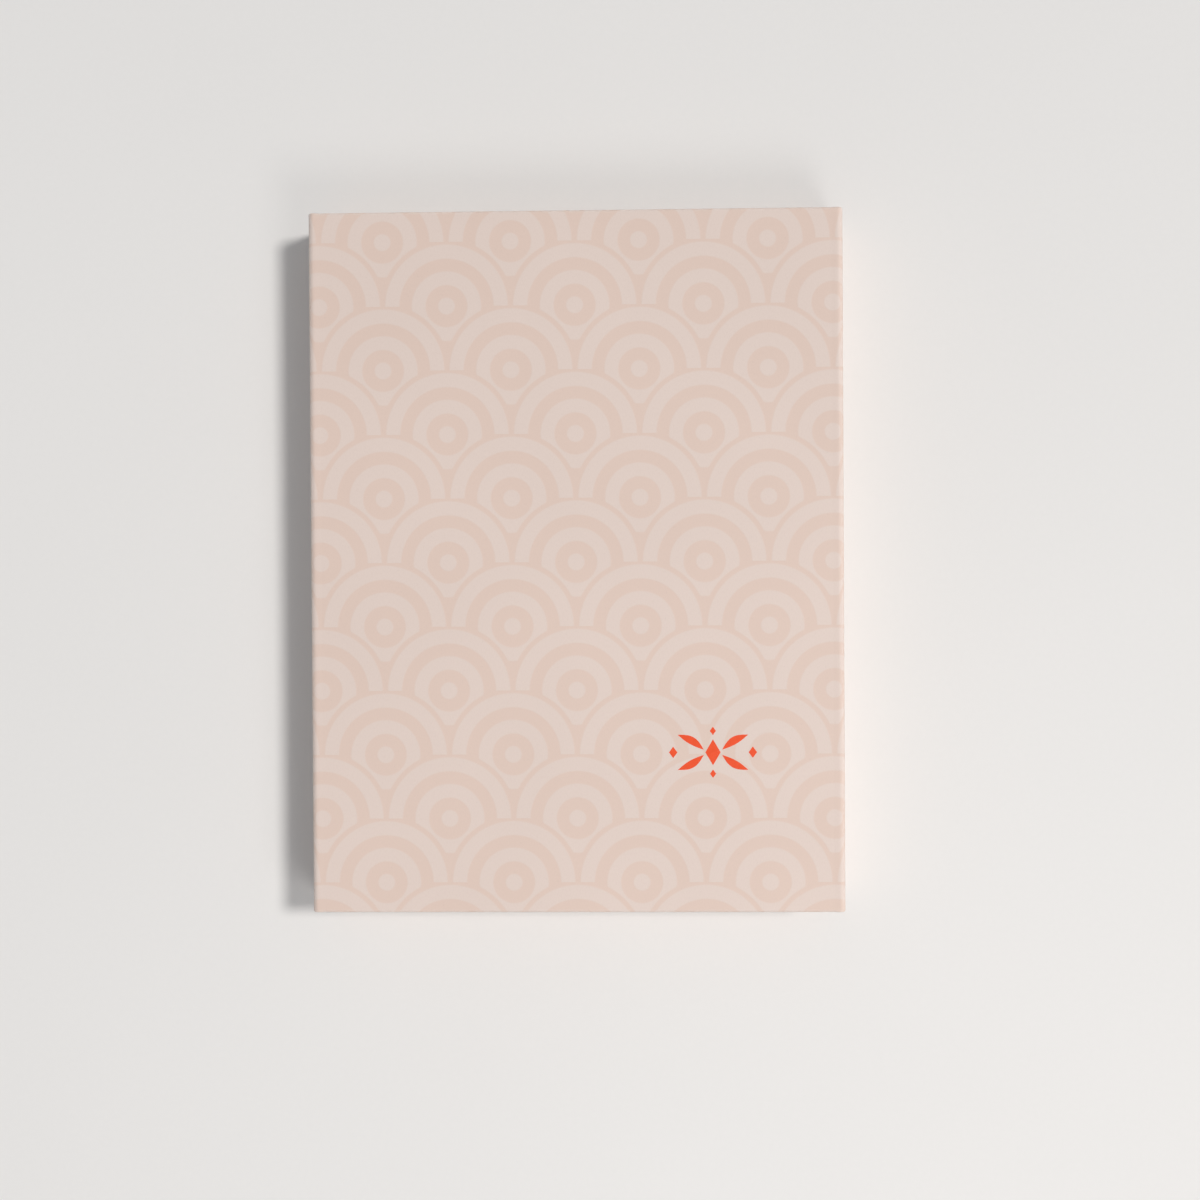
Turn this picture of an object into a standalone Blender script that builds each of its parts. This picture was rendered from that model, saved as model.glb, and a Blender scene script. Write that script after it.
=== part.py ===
"""Gift card box: a rigid book-style box with a hinged lid, a closing flap and a card insert.

Metres, +Z up. The origin is the middle of the underside. +X points from the spine to the closing flap,
and +Y points to the top edge of the lid as it is read from above.

The box is made the way such boxes are. A case of four greyboards (base, spine, lid, flap) is covered by
one sheet of cover paper whose margins turn in over the boards. The bare paper between two boards is the
hinge. A board tray with its own paper is glued into the case, and it carries a die-cut insert for the
card and the envelope. Magnets punched into the flap and into the tray's wall hold the flap shut.
"""

import math

import bmesh
import bpy
from mathutils import Vector

MM = 0.001

# Outside of the closed box
BOX_WIDTH = 140.0 * MM
BOX_LENGTH = 184.0 * MM
BOX_HEIGHT = 22.0 * MM

# Boards and papers
CASE_BOARD = 2.0 * MM
TRAY_BOARD = 1.5 * MM
COVER_PAPER = 0.25 * MM
LINER_PAPER = 0.2 * MM
BOARD_ROUND = 0.3 * MM

# Gaps between pieces
GLUE_GAP = 0.2 * MM
REST_GAP = 0.3 * MM
CLOSING_GAP = 0.3 * MM

# Case
CREASE_REACH = 3.0 * MM
CREASE_RADIUS = 1.5 * MM
CREASE_SLIT = 0.3 * MM
TURN_IN = 15.0 * MM
FLAP_TURN_IN = 9.0 * MM
CREASE_CLIP = 0.6 * MM
LINER_INSET = 3.0 * MM
LINER_CREASE_INSET = 1.0 * MM
FLAP_LIFT = 0.5 * MM

# Tray
TRAY_SETBACK = 1.5 * MM
TRAY_UNDERTURN = 12.0 * MM

# Magnets
MAGNET_DIAMETER = 8.0 * MM
MAGNET_PLAY = 0.3 * MM
TRAY_MAGNET = 1.0 * MM
FLAP_MAGNET = 1.5 * MM
MAGNET_PLACE_SHARE = 0.5

# Insert
INSERT_PLAY = 0.4 * MM
INSERT_CORNER = 1.0 * MM
PLATFORM_DROP = 2.4 * MM
PLATFORM_FOAM = 3.0 * MM
FACING_PAPER = 0.3 * MM
WELL_ROUND = 2.5 * MM
NOTCH_WIDTH = 22.0 * MM
NOTCH_DEPTH_SHARE = 0.38

# Gift card and its pull ribbon
CARD_WIDTH = 85.6 * MM
CARD_LENGTH = 53.98 * MM
CARD_THICKNESS = 0.76 * MM
CARD_CORNER = 3.18 * MM
CARD_PLAY = 1.0 * MM
RIBBON_WIDTH = 12.0 * MM
RIBBON_THICKNESS = 0.25 * MM
RIBBON_TAB_SHARE = 0.75
RIBBON_TAIL_CUT = 4.0 * MM

# Note card and the envelope that is folded round it
NOTE_WIDTH = 95.0 * MM
NOTE_LENGTH = 63.0 * MM
NOTE_THICKNESS = 0.4 * MM
NOTE_SIDE_PLAY = 2.5 * MM
NOTE_END_PLAY = 3.5 * MM
ENVELOPE_PAPER = 0.2 * MM
ENVELOPE_PLAY = 1.0 * MM
ENVELOPE_THROAT = 4.0 * MM
FLAP_TIP_WIDTH = 10.0 * MM
FLAP_REACH_SHARE = 0.56

# Cutters and the fineness of curves
CUT_OVERRUN = 0.5 * MM
ARC_STEP = math.radians(15.0)
CORNER_STEP = math.radians(18.0)
CIRCLE_SIDES = 40
FOLD_SEGMENTS = 3
EASE_SEGMENTS = 2
SHARP_FOLD = math.radians(50.0)
SAME_PLACE = BOARD_ROUND / 1000.0

# Outside faces of the case
RIGHT = BOX_WIDTH / 2
LEFT = -RIGHT
BACK = BOX_LENGTH / 2
FRONT = -BACK
TOP = BOX_HEIGHT

# Layers over one side of a board: the paper's outside, and a covered board with its lining
SKIN = GLUE_GAP + COVER_PAPER
COVERED_BOARD = SKIN + CASE_BOARD + SKIN
LINED_BOARD = COVERED_BOARD + GLUE_GAP + LINER_PAPER
FOLD_RADIUS = BOARD_ROUND + SKIN

# The hinge axis lies inside the outer corner where the crease paper keeps its length, folded and flat
HINGE_INSET = CREASE_RADIUS * (1 - math.pi / 4)
HINGE_Z = TOP - HINGE_INSET
LID_HINGE_X = LEFT + HINGE_INSET
FLAP_HINGE_X = RIGHT - HINGE_INSET

# Outside of the tray, which stands between the lined spine and the lined flap, under the lined lid
TRAY_LEFT = LEFT + LINED_BOARD + GLUE_GAP
TRAY_RIGHT = RIGHT - LINED_BOARD - CLOSING_GAP
TRAY_BACK = BACK - TRAY_SETBACK
TRAY_BOTTOM = COVERED_BOARD + GLUE_GAP
TRAY_TOP = TOP - LINED_BOARD - CLOSING_GAP
TRAY_WALL = SKIN + TRAY_BOARD + SKIN
TRAY_MIDDLE_X = (TRAY_LEFT + TRAY_RIGHT) / 2
TRAY_FLOOR = TRAY_BOTTOM + SKIN + TRAY_BOARD
ROOM_WIDTH = TRAY_RIGHT - TRAY_LEFT - 2 * TRAY_WALL
ROOM_LENGTH = 2 * (TRAY_BACK - TRAY_WALL)

# Insert, from the tray's floor paper up to the facing
INSERT_WIDTH = ROOM_WIDTH - 2 * INSERT_PLAY
INSERT_LENGTH = ROOM_LENGTH - 2 * INSERT_PLAY
SPACER_BOTTOM = TRAY_FLOOR + GLUE_GAP + LINER_PAPER + REST_GAP
FACING_TOP = TRAY_TOP - PLATFORM_DROP
PLATFORM_TOP = FACING_TOP - FACING_PAPER - GLUE_GAP
WELL_FLOOR = PLATFORM_TOP - PLATFORM_FOAM - GLUE_GAP

# Wells, spaced evenly along the insert: the envelope's in front, the gift card's behind
ENVELOPE_WIDTH = NOTE_WIDTH + 2 * NOTE_SIDE_PLAY
ENVELOPE_LENGTH = NOTE_LENGTH + 2 * NOTE_END_PLAY
CARD_WELL_WIDTH = CARD_WIDTH + 2 * CARD_PLAY
CARD_WELL_LENGTH = CARD_LENGTH + 2 * CARD_PLAY
NOTE_WELL_WIDTH = ENVELOPE_WIDTH + 2 * ENVELOPE_PLAY
NOTE_WELL_LENGTH = ENVELOPE_LENGTH + 2 * ENVELOPE_PLAY
WELL_SPACING = (INSERT_LENGTH - CARD_WELL_LENGTH - NOTE_WELL_LENGTH) / 3
NOTCH_DEPTH = WELL_SPACING * NOTCH_DEPTH_SHARE
RIBBON_TAB = (INSERT_WIDTH - CARD_WELL_WIDTH) / 2 * RIBBON_TAB_SHARE
NOTE_WELL_Y = -INSERT_LENGTH / 2 + WELL_SPACING + NOTE_WELL_LENGTH / 2
CARD_WELL_Y = INSERT_LENGTH / 2 - WELL_SPACING - CARD_WELL_LENGTH / 2

# Envelope layers, counted from its underside
POCKET_TOP = ENVELOPE_PAPER + REST_GAP + NOTE_THICKNESS + REST_GAP
ENVELOPE_BACK_TOP = POCKET_TOP + ENVELOPE_PAPER
ENVELOPE_HEIGHT = ENVELOPE_BACK_TOP + GLUE_GAP + ENVELOPE_PAPER

MAGNET_Z = (TRAY_BOTTOM + TRAY_TOP) / 2
MAGNET_ENDS = {"front": -1, "back": 1}

X_AXIS = Vector((1, 0, 0))
Y_AXIS = Vector((0, 1, 0))
Z_AXIS = Vector((0, 0, 1))


def clear_scene():
    for obj in list(bpy.data.objects):
        bpy.data.objects.remove(obj, do_unlink=True)


def make_collection(name):
    collection = bpy.data.collections.new(name)
    bpy.context.scene.collection.children.link(collection)
    return collection


clear_scene()
PARTS = make_collection("gift_card_box")
CUTTERS = make_collection("cutters")


def make_material(name, colour, roughness, metallic=0.0):
    material = bpy.data.materials.new(name)
    material.use_nodes = True
    shader = material.node_tree.nodes["Principled BSDF"]
    shader.inputs["Base Color"].default_value = (*colour, 1.0)
    shader.inputs["Roughness"].default_value = roughness
    shader.inputs["Metallic"].default_value = metallic
    return material


COVER = make_material("cover_paper", (0.74, 0.58, 0.51), 0.7)
LINING = make_material("lining_paper", (0.80, 0.72, 0.64), 0.8)
GREYBOARD = make_material("greyboard", (0.36, 0.33, 0.29), 0.95)
FOAM = make_material("foam", (0.70, 0.62, 0.56), 0.95)
FACING = make_material("facing_paper", (0.78, 0.66, 0.58), 0.85)
SATIN = make_material("satin", (0.80, 0.25, 0.12), 0.35)
CARD_PLASTIC = make_material("card_plastic", (0.78, 0.52, 0.44), 0.3)
ENVELOPE_STOCK = make_material("envelope_paper", (0.86, 0.80, 0.72), 0.8)
NOTE_STOCK = make_material("note_card_stock", (0.90, 0.87, 0.82), 0.8)
MAGNET_METAL = make_material("magnet_nickel", (0.55, 0.55, 0.56), 0.3, metallic=1.0)


def new_object(name, data, collection=PARTS):
    obj = bpy.data.objects.new(name, data)
    collection.objects.link(obj)
    return obj


def mesh_object(name, bm, material, collection=PARTS):
    mesh = bpy.data.meshes.new(name)
    bm.to_mesh(mesh)
    bm.free()
    if material:
        mesh.materials.append(material)
    return new_object(name, mesh, collection)


def slab(name, material, low, high, edge_round=0.0):
    """A board or sheet between two corners, with its edges eased where edge_round is given."""
    low, high = Vector(low), Vector(high)
    bm = bmesh.new()
    bmesh.ops.create_cube(bm, size=1.0)
    bmesh.ops.scale(bm, vec=high - low, verts=bm.verts)
    obj = mesh_object(name, bm, material)
    obj.location = (low + high) / 2
    if edge_round:
        ease(obj, edge_round)
    return obj


def ease(obj, edge_round):
    """Rounds a board's edges a little."""
    bevel = obj.modifiers.new("eased_edges", "BEVEL")
    bevel.width = edge_round
    bevel.segments = EASE_SEGMENTS
    bevel.limit_method = "ANGLE"
    bevel.angle_limit = SHARP_FOLD


def disc(name, material, diameter, thickness, centre, collection=PARTS):
    """A flat disc or a cutter whose axis lies along X."""
    bm = bmesh.new()
    bmesh.ops.create_cone(
        bm,
        cap_ends=True,
        segments=CIRCLE_SIDES,
        radius1=diameter / 2,
        radius2=diameter / 2,
        depth=thickness,
    )
    obj = mesh_object(name, bm, material, collection)
    obj.rotation_euler.y = math.pi / 2
    obj.location = centre
    return obj


def cut_hole(obj, name, diameter, depth, centre):
    cutter = disc(name, None, diameter, depth, centre, CUTTERS)
    cutter.hide_render = True
    cutter.display_type = "WIRE"
    hole = obj.modifiers.new(name, "BOOLEAN")
    hole.operation = "DIFFERENCE"
    hole.object = cutter


def arc(centre, radius, start, end, step=ARC_STEP):
    """Points on an arc of a section, both ends included, as (first, second) coordinates."""
    count = max(2, round(abs(end - start) / step))
    angles = [start + (end - start) * i / count for i in range(count + 1)]
    return [
        (centre[0] + radius * math.cos(angle), centre[1] + radius * math.sin(angle))
        for angle in angles
    ]


def extrude(bm, edges, move):
    """Extrudes edges of an open sheet by a vector and returns the new edges and points."""
    made = bmesh.ops.extrude_edge_only(bm, edges=edges)["geom"]
    points = [item for item in made if isinstance(item, bmesh.types.BMVert)]
    bmesh.ops.translate(bm, verts=points, vec=move)
    new_points = set(points)
    new_edges = [
        item
        for item in made
        if isinstance(item, bmesh.types.BMEdge) and new_points.issuperset(item.verts)
    ]
    return new_edges, points


def sheet_from_section(points, direction, length):
    """An open sheet: a section of 3D points, extruded by a length."""
    bm = bmesh.new()
    corners = [bm.verts.new(point) for point in points]
    edges = [bm.edges.new(pair) for pair in zip(corners, corners[1:])]
    extrude(bm, edges, direction * length)
    return bm


def on_plane(point, plane):
    normal, distance = plane
    return abs(point.dot(normal) - distance) < SAME_PLACE


def behind(point, plane):
    normal, distance = plane
    return point.dot(normal) < distance + SAME_PLACE


def turn_in(bm, panel, sides, creases, depth, margin):
    """Folds a panel's free sides round its board and in over the far face, mitred where two sides meet.

    Each plane is an outward normal and its distance. The paper is clipped a little at every crease, so
    that the margins of two panels never meet there."""
    free = [
        edge
        for edge in bm.edges
        if edge.is_boundary
        and all(on_plane(corner.co, panel) for corner in edge.verts)
        and all(behind(corner.co, crease) for crease in creases for corner in edge.verts)
        and any(all(on_plane(corner.co, side) for corner in edge.verts) for side in sides)
    ]
    wall, wall_points = extrude(bm, free, -panel[0] * depth)
    clip_at(wall_points, creases, CREASE_CLIP)
    clipped = [(normal, distance - CREASE_CLIP) for normal, distance in creases]
    margin_points = extrude(bm, wall, Vector())[1]
    clip_at(margin_points, sides, margin)
    clip_at(margin_points, clipped, CREASE_CLIP)


def clip_at(points, planes, amount):
    """Pulls the points that lie on each plane back behind it."""
    for point in points:
        for plane in planes:
            if on_plane(point.co, plane):
                point.co -= plane[0] * amount


def paper(name, bm, material, thickness, outside, fold_radius=FOLD_RADIUS):
    """Gives an open sheet its rounded folds and its thickness, laid inwards from the sheet."""
    bmesh.ops.recalc_face_normals(bm, faces=bm.faces)
    outermost = max(bm.faces, key=lambda face: face.calc_center_median().dot(outside))
    if outermost.normal.dot(outside) < 0:
        bmesh.ops.reverse_faces(bm, faces=bm.faces)
    obj = mesh_object(name, bm, material)
    folds = obj.modifiers.new("rounded_folds", "BEVEL")
    folds.width = fold_radius
    folds.segments = FOLD_SEGMENTS
    folds.limit_method = "ANGLE"
    folds.angle_limit = SHARP_FOLD
    body = obj.modifiers.new("paper_thickness", "SOLIDIFY")
    body.thickness = thickness
    body.offset = -1.0
    body.use_even_offset = True
    return obj


def at_front(section):
    """Places a section's (x, z) points on the front end of the case."""
    return [(x, FRONT, z) for x, z in section]


def crease_half(side, above):
    """Half of the paper bend at a top corner, from the board's end to the slit where the two bodies part.

    side is -1 at the spine and 1 at the flap. The upper half belongs to the lid."""
    centre = (side * (RIGHT - CREASE_RADIUS), TOP - CREASE_RADIUS)
    part = math.pi / 4 - CREASE_SLIT / CREASE_RADIUS / 2
    level = math.pi / 2
    if above:
        bend = arc(centre, CREASE_RADIUS, level, level - side * part)
        return [(side * (RIGHT - CREASE_REACH), TOP), *bend]
    side_face = 0.0 if side > 0 else math.pi
    bend = arc(centre, CREASE_RADIUS, side_face, side_face + side * part)
    return [(side * RIGHT, TOP - CREASE_REACH), *bend]


def lid_empty():
    hinge = new_object("lid_hinge_axis", None)
    hinge.location = (LID_HINGE_X, 0, HINGE_Z)
    return hinge


def flap_empty(lid_hinge):
    hinge = new_object("flap_hinge_axis", None)
    hinge.parent = lid_hinge
    hinge.location = Vector((FLAP_HINGE_X, 0, HINGE_Z)) - lid_hinge.location
    return hinge


def hang_on(axis_place, hinge, pieces):
    """Parents pieces to a hinge's empty and keeps them where they are."""
    for piece in pieces:
        piece.parent = hinge
        piece.location -= Vector(axis_place)


def liner(name, low, high):
    return slab(name, LINING, low, high)


# Case, fixed half: base and spine


def base_board():
    return slab(
        "base_board",
        GREYBOARD,
        (LEFT + CREASE_REACH, FRONT + SKIN, SKIN),
        (TRAY_RIGHT - SKIN, BACK - SKIN, SKIN + CASE_BOARD),
        BOARD_ROUND,
    )


def spine_board():
    return slab(
        "spine_board",
        GREYBOARD,
        (LEFT + SKIN, FRONT + SKIN, CREASE_REACH),
        (LEFT + SKIN + CASE_BOARD, BACK - SKIN, TOP - CREASE_REACH),
        BOARD_ROUND,
    )


def base_wrap():
    """Cover paper under the base, round the lower spine fold and up the spine, with turned-in margins."""
    fold_centre = (LEFT + CREASE_RADIUS, CREASE_RADIUS)
    lower_fold = [
        (LEFT + CREASE_REACH, 0),
        *arc(fold_centre, CREASE_RADIUS, -math.pi / 2, -math.pi),
        (LEFT, CREASE_REACH),
    ]
    upper_fold = crease_half(-1, above=False)
    bm = sheet_from_section(
        at_front([(TRAY_RIGHT, 0), *lower_fold, *upper_fold]), Y_AXIS, BOX_LENGTH
    )
    ends = [(Y_AXIS, BACK), (-Y_AXIS, BACK)]
    turn_in(
        bm,
        panel=(-Z_AXIS, 0.0),
        sides=[*ends, (X_AXIS, TRAY_RIGHT)],
        creases=[(-X_AXIS, RIGHT - CREASE_REACH)],
        depth=COVERED_BOARD,
        margin=TURN_IN,
    )
    turn_in(
        bm,
        panel=(-X_AXIS, RIGHT),
        sides=ends,
        creases=[(-Z_AXIS, -CREASE_REACH), (Z_AXIS, TOP - CREASE_REACH)],
        depth=COVERED_BOARD,
        margin=TURN_IN,
    )
    return paper("base_wrap", bm, COVER, COVER_PAPER, -Z_AXIS)


def spine_liner():
    return liner(
        "spine_liner",
        (LEFT + COVERED_BOARD + GLUE_GAP, FRONT + LINER_INSET, TRAY_BOTTOM),
        (LEFT + LINED_BOARD, BACK - LINER_INSET, TRAY_TOP),
    )


# Tray


def tray_board():
    """Floor and four walls as one open shell, with a punched seat for each magnet in the right wall."""
    low = Vector((TRAY_LEFT + SKIN, -TRAY_BACK + SKIN, TRAY_BOTTOM + SKIN))
    high = Vector((TRAY_RIGHT - SKIN, TRAY_BACK - SKIN, TRAY_TOP - SKIN))
    bm = bmesh.new()
    bmesh.ops.create_cube(bm, size=1.0)
    bmesh.ops.scale(bm, vec=high - low, verts=bm.verts)
    lid_side = max(bm.faces, key=lambda face: face.calc_center_median().z)
    bmesh.ops.delete(bm, geom=[lid_side], context="FACES_ONLY")
    obj = mesh_object("tray_board", bm, GREYBOARD)
    obj.location = (low + high) / 2
    walls = obj.modifiers.new("wall_thickness", "SOLIDIFY")
    walls.thickness = TRAY_BOARD
    walls.offset = -1.0
    walls.use_even_offset = True
    ease(obj, BOARD_ROUND)
    for end, place in magnet_places(TRAY_RIGHT - SKIN - TRAY_BOARD / 2).items():
        cut_hole(obj, f"tray_magnet_seat_{end}", *magnet_seat(TRAY_BOARD), place)
    return obj


def tray_ring(inset, z):
    """Corner points of the tray's rectangle, drawn in from its outside by inset, at one height."""
    low_x, high_x = TRAY_LEFT + inset, TRAY_RIGHT - inset
    reach = TRAY_BACK - inset
    return [
        Vector(place)
        for place in (
            (low_x, -reach, z),
            (high_x, -reach, z),
            (high_x, reach, z),
            (low_x, reach, z),
        )
    ]


def tray_wrap():
    """Cover paper of the tray: turned under the floor, up the walls, over the rim and down inside."""
    rings = [
        (TRAY_UNDERTURN, TRAY_BOTTOM),
        (0.0, TRAY_BOTTOM),
        (0.0, TRAY_TOP),
        (TRAY_WALL, TRAY_TOP),
        (TRAY_WALL, TRAY_FLOOR + GLUE_GAP),
    ]
    bm = bmesh.new()
    corners = [bm.verts.new(place) for place in tray_ring(*rings[0])]
    edges = [bm.edges.new((corners[i - 1], corners[i])) for i in range(len(corners))]
    for ring, before in zip(rings[1:], rings):
        edges, points = extrude(bm, edges, Vector())
        for point in points:
            places = zip(tray_ring(*before), tray_ring(*ring))
            point.co = min(places, key=lambda pair: (pair[0] - point.co).length)[1]
    return paper("tray_wrap", bm, COVER, COVER_PAPER, -Z_AXIS)


def tray_liner():
    half_x = ROOM_WIDTH / 2 - GLUE_GAP
    half_y = ROOM_LENGTH / 2 - GLUE_GAP
    bottom = TRAY_FLOOR + GLUE_GAP
    return liner(
        "tray_liner",
        (TRAY_MIDDLE_X - half_x, -half_y, bottom),
        (TRAY_MIDDLE_X + half_x, half_y, bottom + LINER_PAPER),
    )


# Magnets


def magnet_places(x):
    spread = BACK * MAGNET_PLACE_SHARE
    return {
        end: Vector((x, side * spread, MAGNET_Z)) for end, side in MAGNET_ENDS.items()
    }


def magnet_seat(board):
    """Diameter and depth of the cutter that punches a magnet's seat through a board."""
    return MAGNET_DIAMETER + 2 * MAGNET_PLAY, board + 2 * CUT_OVERRUN


def magnets(owner, thickness, x):
    return [
        disc(f"{owner}_magnet_{end}", MAGNET_METAL, MAGNET_DIAMETER, thickness, place)
        for end, place in magnet_places(x).items()
    ]


# Insert


def rounded_corner(x, y, radius, start):
    return arc((x, y), radius, start, start + math.pi / 2, CORNER_STEP)


def rounded_rectangle(middle, width, length, radius):
    """Outline of a rectangle with round corners, anticlockwise from the middle of its right side."""
    reach_x, reach_y = width / 2 - radius, length / 2 - radius
    x, y = middle
    quarter = math.pi / 2
    return [
        *rounded_corner(x + reach_x, y + reach_y, radius, 0),
        *rounded_corner(x - reach_x, y + reach_y, radius, quarter),
        *rounded_corner(x - reach_x, y - reach_y, radius, 2 * quarter),
        *rounded_corner(x + reach_x, y - reach_y, radius, 3 * quarter),
    ]


def notch(middle, length, side):
    """A thumb notch in a well's back (side 1) or front (side -1) edge, as an arc outside that edge."""
    radius = (NOTCH_WIDTH**2 / 4 + NOTCH_DEPTH**2) / (2 * NOTCH_DEPTH)
    half = math.asin(NOTCH_WIDTH / 2 / radius)
    centre = (middle[0], middle[1] + side * (length / 2 + NOTCH_DEPTH - radius))
    middle_angle = side * math.pi / 2
    return arc(centre, radius, middle_angle - half, middle_angle + half)


def notched_rectangle(middle, width, length, radius):
    """A rounded rectangle with a thumb notch in the middle of its back and front edges."""
    corners = rounded_rectangle(middle, width, length, radius)
    per_corner = len(corners) // 4
    return [
        *corners[:per_corner],
        *notch(middle, length, 1),
        *corners[per_corner : 3 * per_corner],
        *notch(middle, length, -1),
        *corners[3 * per_corner :],
    ]


def flat_outline(name, material, outlines, thickness, bottom):
    """A flat piece from closed outlines, the first one outside and the rest its openings."""
    curve = bpy.data.curves.new(name, "CURVE")
    curve.dimensions = "2D"
    curve.fill_mode = "BOTH"
    curve.extrude = thickness / 2
    for outline in outlines:
        spline = curve.splines.new("POLY")
        spline.points.add(len(outline) - 1)
        for point, (x, y) in zip(spline.points, outline):
            point.co = (x, y, 0.0, 1.0)
        spline.use_cyclic_u = True
    curve.materials.append(material)
    obj = new_object(name, curve)
    obj.location = (TRAY_MIDDLE_X, 0, bottom + thickness / 2)
    return obj


def insert_outlines():
    return [
        rounded_rectangle((0, 0), INSERT_WIDTH, INSERT_LENGTH, INSERT_CORNER),
        rounded_rectangle((0, CARD_WELL_Y), CARD_WELL_WIDTH, CARD_WELL_LENGTH, WELL_ROUND),
        notched_rectangle((0, NOTE_WELL_Y), NOTE_WELL_WIDTH, NOTE_WELL_LENGTH, WELL_ROUND),
    ]


def insert_spacer():
    half_x, half_y = INSERT_WIDTH / 2, INSERT_LENGTH / 2
    return slab(
        "insert_spacer",
        FOAM,
        (TRAY_MIDDLE_X - half_x, -half_y, SPACER_BOTTOM),
        (TRAY_MIDDLE_X + half_x, half_y, WELL_FLOOR),
    )


def insert_platform():
    bottom = WELL_FLOOR + GLUE_GAP
    return flat_outline("insert_platform", FOAM, insert_outlines(), PLATFORM_FOAM, bottom)


def insert_facing():
    bottom = PLATFORM_TOP + GLUE_GAP
    return flat_outline("insert_facing", FACING, insert_outlines(), FACING_PAPER, bottom)


# Contents


def pull_ribbon():
    """Satin ribbon: glued down at the well's left end, under the card, up its right end and out."""
    under = WELL_FLOOR + REST_GAP
    over = FACING_TOP + REST_GAP
    rise_x = CARD_WIDTH / 2 + CARD_PLAY / 2 + RIBBON_THICKNESS / 2
    start_x = -CARD_WELL_WIDTH / 2 + REST_GAP
    end_x = rise_x + RIBBON_TAB
    low_y = CARD_WELL_Y - RIBBON_WIDTH / 2
    section = [(start_x, under), (rise_x, under), (rise_x, over), (end_x, over)]
    lengthwise = [(TRAY_MIDDLE_X + x, low_y, z) for x, z in section]
    bm = sheet_from_section(lengthwise, Y_AXIS, RIBBON_WIDTH / 2)
    middle = (Y_AXIS, CARD_WELL_Y)
    tab_end = (X_AXIS, TRAY_MIDDLE_X + end_x)
    spine = [edge for edge in bm.edges if all(on_plane(end.co, middle) for end in edge.verts)]
    extrude(bm, spine, Y_AXIS * (RIBBON_WIDTH / 2))
    for point in bm.verts:
        if on_plane(point.co, tab_end) and on_plane(point.co, middle):
            point.co.x -= RIBBON_TAIL_CUT
    bend = 2 * RIBBON_THICKNESS
    ribbon = paper("pull_ribbon", bm, SATIN, RIBBON_THICKNESS, Z_AXIS, bend)
    ribbon.modifiers["paper_thickness"].offset = 1.0
    return ribbon


def gift_card():
    outline = rounded_rectangle((0, CARD_WELL_Y), CARD_WIDTH, CARD_LENGTH, CARD_CORNER)
    bottom = WELL_FLOOR + REST_GAP + RIBBON_THICKNESS + REST_GAP
    return flat_outline("gift_card", CARD_PLASTIC, [outline], CARD_THICKNESS, bottom)


def envelope():
    """One folded sheet: back panel, bottom fold, front panel underneath, top fold and pointed flap."""
    base = WELL_FLOOR + REST_GAP
    front_y = NOTE_WELL_Y - ENVELOPE_LENGTH / 2
    back_y = NOTE_WELL_Y + ENVELOPE_LENGTH / 2
    tip_y = back_y - ENVELOPE_LENGTH * FLAP_REACH_SHARE
    start_x = TRAY_MIDDLE_X - ENVELOPE_WIDTH / 2
    section = [
        (back_y - ENVELOPE_THROAT, ENVELOPE_BACK_TOP),
        (front_y, ENVELOPE_BACK_TOP),
        (front_y, 0),
        (back_y, 0),
        (back_y, ENVELOPE_HEIGHT),
        (tip_y, ENVELOPE_HEIGHT),
    ]
    crosswise = [(start_x, y, base + z) for y, z in section]
    bm = sheet_from_section(crosswise, X_AXIS, ENVELOPE_WIDTH)
    draw_in = (ENVELOPE_WIDTH - FLAP_TIP_WIDTH) / 2
    for point in bm.verts:
        if on_plane(point.co, (Y_AXIS, tip_y)):
            point.co.x += draw_in if point.co.x < TRAY_MIDDLE_X else -draw_in
    bend = 2 * ENVELOPE_PAPER
    return paper("envelope", bm, ENVELOPE_STOCK, ENVELOPE_PAPER, -Z_AXIS, bend)


def note_card():
    bottom = WELL_FLOOR + REST_GAP + ENVELOPE_PAPER + REST_GAP
    half_x, half_y = NOTE_WIDTH / 2, NOTE_LENGTH / 2
    return slab(
        "note_card",
        NOTE_STOCK,
        (TRAY_MIDDLE_X - half_x, NOTE_WELL_Y - half_y, bottom),
        (TRAY_MIDDLE_X + half_x, NOTE_WELL_Y + half_y, bottom + NOTE_THICKNESS),
    )


# Case, moving half: lid and flap


def lid_board():
    reach = RIGHT - CREASE_REACH
    return slab(
        "lid_board",
        GREYBOARD,
        (-reach, FRONT + SKIN, TOP - SKIN - CASE_BOARD),
        (reach, BACK - SKIN, TOP - SKIN),
        BOARD_ROUND,
    )


def lid_wrap():
    """Cover paper over the lid, down into half of each crease, with two turned-in margins."""
    section = [*reversed(crease_half(-1, above=True)), *crease_half(1, above=True)]
    bm = sheet_from_section(at_front(section), Y_AXIS, BOX_LENGTH)
    reach = RIGHT - CREASE_REACH
    turn_in(
        bm,
        panel=(Z_AXIS, TOP),
        sides=[(Y_AXIS, BACK), (-Y_AXIS, BACK)],
        creases=[(X_AXIS, reach), (-X_AXIS, reach)],
        depth=COVERED_BOARD,
        margin=TURN_IN,
    )
    return paper("lid_wrap", bm, COVER, COVER_PAPER, Z_AXIS)


def lid_liner():
    reach = RIGHT - CREASE_REACH - LINER_CREASE_INSET
    return liner(
        "lid_liner",
        (-reach, FRONT + LINER_INSET, TOP - LINED_BOARD),
        (reach, BACK - LINER_INSET, TOP - LINED_BOARD + LINER_PAPER),
    )


def flap_board():
    middle_x = RIGHT - SKIN - CASE_BOARD / 2
    obj = slab(
        "flap_board",
        GREYBOARD,
        (middle_x - CASE_BOARD / 2, FRONT + SKIN, FLAP_LIFT + SKIN),
        (middle_x + CASE_BOARD / 2, BACK - SKIN, TOP - CREASE_REACH),
        BOARD_ROUND,
    )
    for end, place in magnet_places(middle_x).items():
        cut_hole(obj, f"flap_magnet_seat_{end}", *magnet_seat(CASE_BOARD), place)
    return obj


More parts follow.
